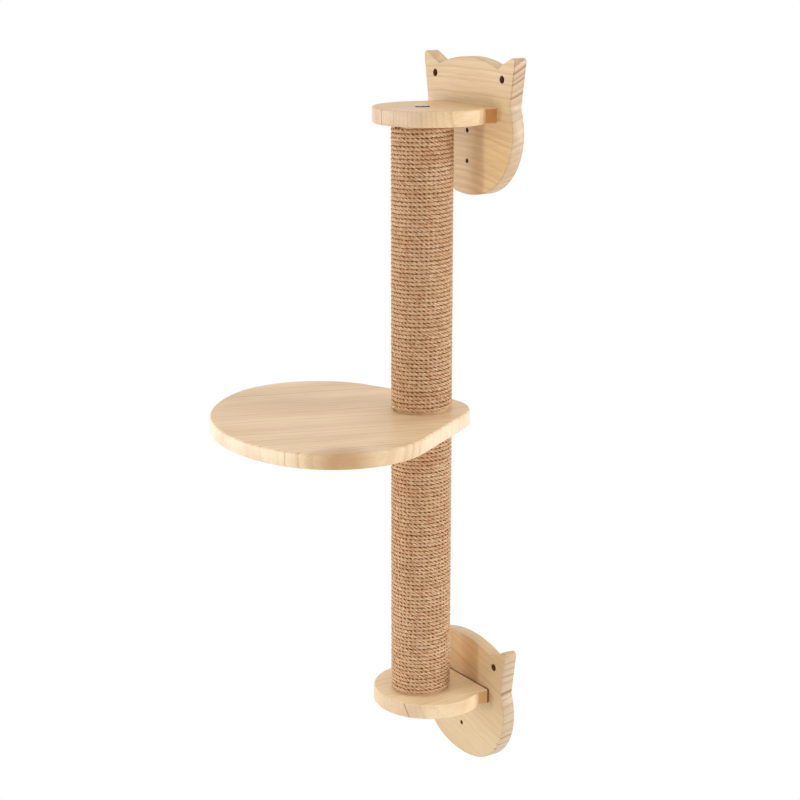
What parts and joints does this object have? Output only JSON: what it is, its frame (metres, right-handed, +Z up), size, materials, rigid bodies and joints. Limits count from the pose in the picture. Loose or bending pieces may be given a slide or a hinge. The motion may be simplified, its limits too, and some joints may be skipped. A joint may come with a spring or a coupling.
{
  "type": "wall mounted cat tree",
  "caption": "Tall rope-wound scratching post held off the wall between two shelves on animal-head plates, with a rounded perch board half way up.",
  "frame": {"origin": "on the wall, on the centre line of the upper wall plate, level with the pair of screw holes in its ears", "axes": "+Z up along the post, +Y into the wall, +X to the right of someone who faces the wall"},
  "size_m": [0.344, 0.3426, 0.9109],
  "materials": {
    "pine": "clear matt lacquer on sanded pine board, fine straight grain",
    "pole_wood": "bare turned softwood, hidden under the rope",
    "beech": "bare beech dowel",
    "jute": "twisted natural jute rope, dry and slightly hairy",
    "zinc_steel": "bright zinc-plated steel",
    "dark_steel": "blued steel tack"
  },
  "bodies": {
    "wall_frame": {"upper_wall_plate": "pine", "upper_shelf": "pine", "upper_shelf_screws": "zinc_steel", "upper_shelf_dowels": "beech", "upper_shelf_bolt": "zinc_steel", "upper_pole": "pole_wood", "upper_pole_inserts": "zinc_steel", "upper_rope": "jute", "upper_rope_tacks": "dark_steel", "rope_end_turns": "jute", "joining_stud": "zinc_steel", "lower_pole": "pole_wood", "lower_pole_inserts": "zinc_steel", "lower_rope": "jute", "lower_rope_tacks": "dark_steel", "lower_wall_plate": "pine", "lower_shelf": "pine", "lower_shelf_screws": "zinc_steel", "lower_shelf_dowels": "beech", "lower_shelf_bolt": "zinc_steel"},
    "platform_body": {"platform": "pine"}
  },
  "joints": [
    {"name": "platform_swivel", "type": "hinge", "parent": "wall_frame", "child": "platform_body", "pos_m": [0, -0.083, -0.4135], "axis": [0, 0, 1], "range_deg": [-27.5, 64.5]}
  ]
}
